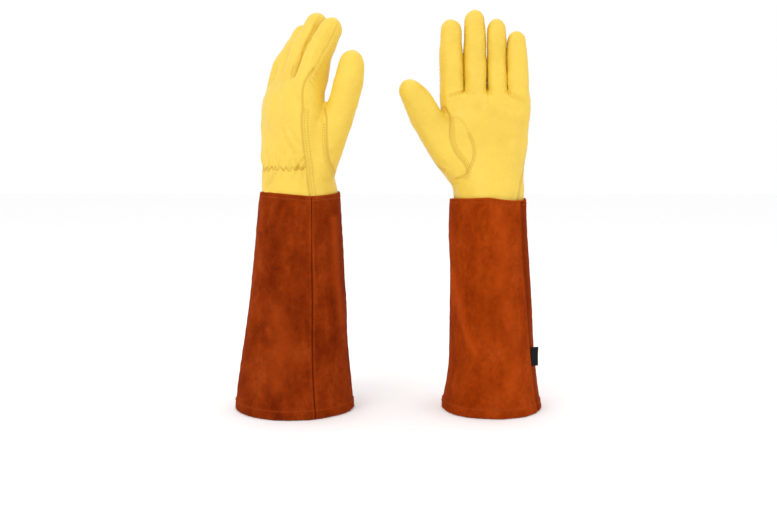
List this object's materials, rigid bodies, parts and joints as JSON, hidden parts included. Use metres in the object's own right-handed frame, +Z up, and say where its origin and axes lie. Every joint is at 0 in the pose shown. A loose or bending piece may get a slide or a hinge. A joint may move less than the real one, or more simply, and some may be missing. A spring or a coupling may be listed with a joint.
{
  "type": "gardening gloves",
  "caption": "Pair of long-cuffed leather gardening gloves standing on their hems, with hollow fingers, gunn-cut hands and flared suede gauntlets.",
  "frame": {"origin": "centre of the bounding box on the surface that both hems stand on", "axes": "+Z up along the gauntlets to the fingertips, -Y to the front where glove A shows its thumb edge and back and glove B its palm, +X from glove A to glove B"},
  "size_m": [0.347, 0.128, 0.443],
  "materials": {
    "yellow_leather": "smooth matt grain",
    "rust_suede": "brushed suede nap",
    "elastic": "woven elastic",
    "black_tape": "woven tape, blank"
  },
  "bodies": {
    "glove_a_gauntlet": {"glove_a_gauntlet_front": "rust_suede", "glove_a_gauntlet_back": "rust_suede"},
    "glove_a_hand": {"glove_a_palm_panel": "yellow_leather", "glove_a_back_panel": "yellow_leather", "glove_a_thumb_gusset": "yellow_leather", "glove_a_thumb_patch": "yellow_leather", "glove_a_wrist_elastic": "elastic"},
    "glove_a_index_lower": {"glove_a_index_lower_front": "yellow_leather", "glove_a_index_lower_back": "yellow_leather", "glove_a_index_sidewalls": "yellow_leather"},
    "glove_a_index_tip": {"glove_a_index_tip_front": "yellow_leather", "glove_a_index_tip_back": "yellow_leather"},
    "glove_a_middle_lower": {"glove_a_middle_lower_front": "yellow_leather", "glove_a_middle_lower_back": "yellow_leather", "glove_a_middle_sidewalls": "yellow_leather"},
    "glove_a_middle_tip": {"glove_a_middle_tip_front": "yellow_leather", "glove_a_middle_tip_back": "yellow_leather"},
    "glove_a_ring_lower": {"glove_a_ring_lower_front": "yellow_leather", "glove_a_ring_lower_back": "yellow_leather", "glove_a_ring_sidewalls": "yellow_leather"},
    "glove_a_ring_tip": {"glove_a_ring_tip_front": "yellow_leather", "glove_a_ring_tip_back": "yellow_leather"},
    "glove_a_little_lower": {"glove_a_little_lower_front": "yellow_leather", "glove_a_little_lower_back": "yellow_leather", "glove_a_little_sidewalls": "yellow_leather"},
    "glove_a_little_tip": {"glove_a_little_tip_front": "yellow_leather", "glove_a_little_tip_back": "yellow_leather"},
    "glove_a_thumb_lower": {"glove_a_thumb_lower": "yellow_leather"},
    "glove_a_thumb_tip": {"glove_a_thumb_tip": "yellow_leather"},
    "glove_b_gauntlet": {"glove_b_gauntlet_front": "rust_suede", "glove_b_gauntlet_back": "rust_suede", "glove_b_blank_tag": "black_tape"},
    "glove_b_hand": {"glove_b_palm_panel": "yellow_leather", "glove_b_back_panel": "yellow_leather", "glove_b_thumb_gusset": "yellow_leather", "glove_b_thumb_patch": "yellow_leather", "glove_b_wrist_elastic": "elastic"},
    "glove_b_index_lower": {"glove_b_index_lower_front": "yellow_leather", "glove_b_index_lower_back": "yellow_leather", "glove_b_index_sidewalls": "yellow_leather"},
    "glove_b_index_tip": {"glove_b_index_tip_front": "yellow_leather", "glove_b_index_tip_back": "yellow_leather"},
    "glove_b_middle_lower": {"glove_b_middle_lower_front": "yellow_leather", "glove_b_middle_lower_back": "yellow_leather", "glove_b_middle_sidewalls": "yellow_leather"},
    "glove_b_middle_tip": {"glove_b_middle_tip_front": "yellow_leather", "glove_b_middle_tip_back": "yellow_leather"},
    "glove_b_ring_lower": {"glove_b_ring_lower_front": "yellow_leather", "glove_b_ring_lower_back": "yellow_leather", "glove_b_ring_sidewalls": "yellow_leather"},
    "glove_b_ring_tip": {"glove_b_ring_tip_front": "yellow_leather", "glove_b_ring_tip_back": "yellow_leather"},
    "glove_b_little_lower": {"glove_b_little_lower_front": "yellow_leather", "glove_b_little_lower_back": "yellow_leather", "glove_b_little_sidewalls": "yellow_leather"},
    "glove_b_little_tip": {"glove_b_little_tip_front": "yellow_leather", "glove_b_little_tip_back": "yellow_leather"},
    "glove_b_thumb_lower": {"glove_b_thumb_lower": "yellow_leather"},
    "glove_b_thumb_tip": {"glove_b_thumb_tip": "yellow_leather"}
  },
  "joints": [
    {"name": "glove_a_wrist", "type": "hinge", "parent": "glove_a_gauntlet", "child": "glove_a_hand", "pos_m": [-0.10298, -0.00069, 0.25], "axis": [-0.5736, 0.8192, 0], "range_deg": [-35, 20]},
    {"name": "glove_a_index_knuckle", "type": "hinge", "parent": "glove_a_hand", "child": "glove_a_index_lower", "pos_m": [-0.08324, -0.03203, 0.354], "axis": [-0.5734, 0.8189, 0.0262], "range_deg": [-22, 48]},
    {"name": "glove_a_index_middle_joint", "type": "hinge", "parent": "glove_a_index_lower", "child": "glove_a_index_tip", "pos_m": [-0.07583, -0.0281, 0.39311], "axis": [-0.5734, 0.8189, 0.0262], "range_deg": [-10, 65]},
    {"name": "glove_a_middle_knuckle", "type": "hinge", "parent": "glove_a_hand", "child": "glove_a_middle_lower", "pos_m": [-0.10335, -0.01376, 0.356], "axis": [-0.5734, 0.8189, 0.0262], "range_deg": [-22, 48]},
    {"name": "glove_a_middle_middle_joint", "type": "hinge", "parent": "glove_a_middle_lower", "child": "glove_a_middle_tip", "pos_m": [-0.09521, -0.00944, 0.39902], "axis": [-0.5734, 0.8189, 0.0262], "range_deg": [-12, 63]},
    {"name": "glove_a_ring_knuckle", "type": "hinge", "parent": "glove_a_hand", "child": "glove_a_ring_lower", "pos_m": [-0.11717, 0.00598, 0.354], "axis": [-0.5735, 0.819, 0.0175], "range_deg": [-23, 47]},
    {"name": "glove_a_ring_middle_joint", "type": "hinge", "parent": "glove_a_ring_lower", "child": "glove_a_ring_tip", "pos_m": [-0.10922, 0.0107, 0.39394], "axis": [-0.5735, 0.819, 0.0175], "range_deg": [-12, 63]},
    {"name": "glove_a_little_knuckle", "type": "hinge", "parent": "glove_a_hand", "child": "glove_a_little_lower", "pos_m": [-0.12779, 0.02638, 0.351], "axis": [-0.5736, 0.8192, 0], "range_deg": [-24, 46]},
    {"name": "glove_a_little_middle_joint", "type": "hinge", "parent": "glove_a_little_lower", "child": "glove_a_little_tip", "pos_m": [-0.12066, 0.03137, 0.38593], "axis": [-0.5736, 0.8192, 0], "range_deg": [-12, 63]},
    {"name": "glove_a_thumb_base", "type": "hinge", "parent": "glove_a_hand", "child": "glove_a_thumb_lower", "pos_m": [-0.04954, -0.03761, 0.34], "axis": [-0.5514, 0.7874, 0.2756], "range_deg": [-12, 35]},
    {"name": "glove_a_thumb_joint", "type": "hinge", "parent": "glove_a_thumb_lower", "child": "glove_a_thumb_tip", "pos_m": [-0.04506, -0.04322, 0.36499], "axis": [-0.5514, 0.7874, 0.2756], "range_deg": [0, 55]},
    {"name": "glove_b_wrist", "type": "hinge", "parent": "glove_b_gauntlet", "child": "glove_b_hand", "pos_m": [0.1106, 0, 0.25], "axis": [1, 0, 0], "range_deg": [-35, 20]},
    {"name": "glove_b_index_knuckle", "type": "hinge", "parent": "glove_b_hand", "child": "glove_b_index_lower", "pos_m": [0.0705, 0, 0.354], "axis": [0.9997, 0, 0.0262], "range_deg": [-10, 60]},
    {"name": "glove_b_index_middle_joint", "type": "hinge", "parent": "glove_b_index_lower", "child": "glove_b_index_tip", "pos_m": [0.06945, 0, 0.39399], "axis": [0.9997, 0, 0.0262], "range_deg": [0, 75]},
    {"name": "glove_b_middle_knuckle", "type": "hinge", "parent": "glove_b_hand", "child": "glove_b_middle_lower", "pos_m": [0.0972, 0, 0.356], "axis": [0.9997, 0, 0.0262], "range_deg": [-10, 60]},
    {"name": "glove_b_middle_middle_joint", "type": "hinge", "parent": "glove_b_middle_lower", "child": "glove_b_middle_tip", "pos_m": [0.09605, 0, 0.39998], "axis": [0.9997, 0, 0.0262], "range_deg": [0, 75]},
    {"name": "glove_b_ring_knuckle", "type": "hinge", "parent": "glove_b_hand", "child": "glove_b_ring_lower", "pos_m": [0.1216, 0, 0.354], "axis": [0.9998, 0, 0.0175], "range_deg": [-10, 60]},
    {"name": "glove_b_ring_middle_joint", "type": "hinge", "parent": "glove_b_ring_lower", "child": "glove_b_ring_tip", "pos_m": [0.12088, 0, 0.39499], "axis": [0.9998, 0, 0.0175], "range_deg": [0, 75]},
    {"name": "glove_b_little_knuckle", "type": "hinge", "parent": "glove_b_hand", "child": "glove_b_little_lower", "pos_m": [0.1444, 0, 0.351], "axis": [0.9998, 0, 0.0175], "range_deg": [-10, 60]},
    {"name": "glove_b_little_middle_joint", "type": "hinge", "parent": "glove_b_little_lower", "child": "glove_b_little_tip", "pos_m": [0.14377, 0, 0.38699], "axis": [0.9998, 0, 0.0175], "range_deg": [0, 75]},
    {"name": "glove_b_thumb_base", "type": "hinge", "parent": "glove_b_hand", "child": "glove_b_thumb_lower", "pos_m": [0.0455, -0.011, 0.319], "axis": [0.866, 0, 0.5], "range_deg": [-12, 35]},
    {"name": "glove_b_thumb_joint", "type": "hinge", "parent": "glove_b_thumb_lower", "child": "glove_b_thumb_tip", "pos_m": [0.03206, -0.02186, 0.34229], "axis": [0.866, 0, 0.5], "range_deg": [0, 55]},
    {"name": "glove_b_lift", "type": "slide", "parent": "glove_a_gauntlet", "child": "glove_b_gauntlet", "axis": [0, 0, 1], "range_m": [0, 0.25]}
  ]
}
